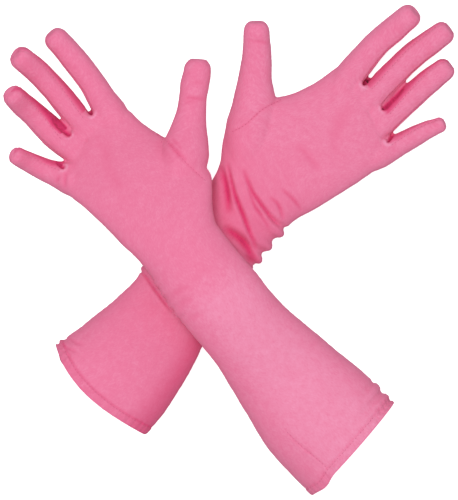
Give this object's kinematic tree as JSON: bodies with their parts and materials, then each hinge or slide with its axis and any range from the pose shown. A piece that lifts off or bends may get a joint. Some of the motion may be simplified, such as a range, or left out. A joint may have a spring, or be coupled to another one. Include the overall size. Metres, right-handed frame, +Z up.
{
  "type": "long knit gloves",
  "caption": "Pair of elbow-length stretch-knit gloves laid crossed, palms up, with set-in thumbs, fourchettes and turned-up hems; wrists and digits bend.",
  "frame": {"origin": "on the table, under the middle of the pair's bounding box", "axes": "+Z up off the table, the palms' side; +Y from the cuffs towards the fingertips; +X towards the left-hand glove's fingers"},
  "size_m": [0.3516, 0.3782, 0.0704],
  "materials": {
    "glove_knit": "pink stretch knit, matt with a faint satin sheen",
    "side_knit": "pink stretch knit, finger side walls",
    "hem_knit": "pink stretch knit, turned up and stitched"
  },
  "bodies": {
    "right_sleeve": {"right_cuff_hem": "hem_knit", "right_sleeve_back_panel": "glove_knit", "right_sleeve_palm_panel": "glove_knit"},
    "right_hand": {"right_hand_back_panel": "glove_knit", "right_hand_palm_panel": "glove_knit"},
    "right_thumb": {"right_thumb_back_panel": "glove_knit", "right_thumb_palm_panel": "glove_knit"},
    "right_index": {"right_index_back_panel": "glove_knit", "right_index_fourchette_little_side": "side_knit", "right_index_palm_panel": "glove_knit"},
    "right_middle": {"right_middle_back_panel": "glove_knit", "right_middle_fourchette_little_side": "side_knit", "right_middle_fourchette_thumb_side": "side_knit", "right_middle_palm_panel": "glove_knit"},
    "right_ring": {"right_ring_back_panel": "glove_knit", "right_ring_fourchette_little_side": "side_knit", "right_ring_fourchette_thumb_side": "side_knit", "right_ring_palm_panel": "glove_knit"},
    "right_little": {"right_little_back_panel": "glove_knit", "right_little_fourchette_thumb_side": "side_knit", "right_little_palm_panel": "glove_knit"},
    "left_sleeve": {"left_cuff_hem": "hem_knit", "left_sleeve_back_panel": "glove_knit", "left_sleeve_palm_panel": "glove_knit"},
    "left_hand": {"left_hand_back_panel": "glove_knit", "left_hand_palm_panel": "glove_knit"},
    "left_thumb": {"left_thumb_back_panel": "glove_knit", "left_thumb_palm_panel": "glove_knit"},
    "left_index": {"left_index_back_panel": "glove_knit", "left_index_fourchette_little_side": "side_knit", "left_index_palm_panel": "glove_knit"},
    "left_middle": {"left_middle_back_panel": "glove_knit", "left_middle_fourchette_little_side": "side_knit", "left_middle_fourchette_thumb_side": "side_knit", "left_middle_palm_panel": "glove_knit"},
    "left_ring": {"left_ring_back_panel": "glove_knit", "left_ring_fourchette_little_side": "side_knit", "left_ring_fourchette_thumb_side": "side_knit", "left_ring_palm_panel": "glove_knit"},
    "left_little": {"left_little_back_panel": "glove_knit", "left_little_fourchette_thumb_side": "side_knit", "left_little_palm_panel": "glove_knit"}
  },
  "joints": [
    {"name": "right_glove_lift", "type": "slide", "parent": "left_sleeve", "child": "right_sleeve", "axis": [0, 0, 1], "range_m": [0, 0.15]},
    {"name": "right_wrist_bend", "type": "hinge", "parent": "right_sleeve", "child": "right_hand", "pos_m": [-0.03218, -0.00464, 0.06942], "axis": [0.788, 0.6157, 0], "range_deg": [0, 60]},
    {"name": "right_thumb_bend", "type": "hinge", "parent": "right_hand", "child": "right_thumb", "pos_m": [-0.03168, 0.06936, 0.05289], "axis": [0.7431, -0.6691, 0], "range_deg": [0, 50]},
    {"name": "right_index_bend", "type": "hinge", "parent": "right_hand", "child": "right_index", "pos_m": [-0.10288, 0.11876, 0.02611], "axis": [0.788, 0.6157, 0], "range_deg": [0, 85]},
    {"name": "right_middle_bend", "type": "hinge", "parent": "right_hand", "child": "right_middle", "pos_m": [-0.12398, 0.10936, 0.02432], "axis": [0.7071, 0.7071, 0], "range_deg": [0, 85]},
    {"name": "right_ring_bend", "type": "hinge", "parent": "right_hand", "child": "right_ring", "pos_m": [-0.14048, 0.09316, 0.02501], "axis": [0.682, 0.7314, 0], "range_deg": [0, 85]},
    {"name": "right_little_bend", "type": "hinge", "parent": "right_hand", "child": "right_little", "pos_m": [-0.14198, 0.06096, 0.03234], "axis": [0.4305, 0.9026, 0], "range_deg": [0, 85]},
    {"name": "left_wrist_bend", "type": "hinge", "parent": "left_sleeve", "child": "left_hand", "pos_m": [0.00682, 0.01586, 0.03042], "axis": [0.7431, -0.6691, 0], "range_deg": [0, 10]},
    {"name": "left_thumb_bend", "type": "hinge", "parent": "left_hand", "child": "left_thumb", "pos_m": [0.02062, 0.10076, 0.02875], "axis": [0.7986, 0.6018, 0], "range_deg": [0, 50]},
    {"name": "left_index_bend", "type": "hinge", "parent": "left_hand", "child": "left_index", "pos_m": [0.10392, 0.14506, 0.02328], "axis": [0.6909, -0.723, 0], "range_deg": [0, 85]},
    {"name": "left_middle_bend", "type": "hinge", "parent": "left_hand", "child": "left_middle", "pos_m": [0.11932, 0.12836, 0.02332], "axis": [0.6115, -0.7912, 0], "range_deg": [0, 85]},
    {"name": "left_ring_bend", "type": "hinge", "parent": "left_hand", "child": "left_ring", "pos_m": [0.13042, 0.10436, 0.02372], "axis": [0.6534, -0.757, 0], "range_deg": [0, 85]},
    {"name": "left_little_bend", "type": "hinge", "parent": "left_hand", "child": "left_little", "pos_m": [0.13602, 0.08246, 0.02422], "axis": [0.4226, -0.9063, 0], "range_deg": [0, 85]}
  ]
}
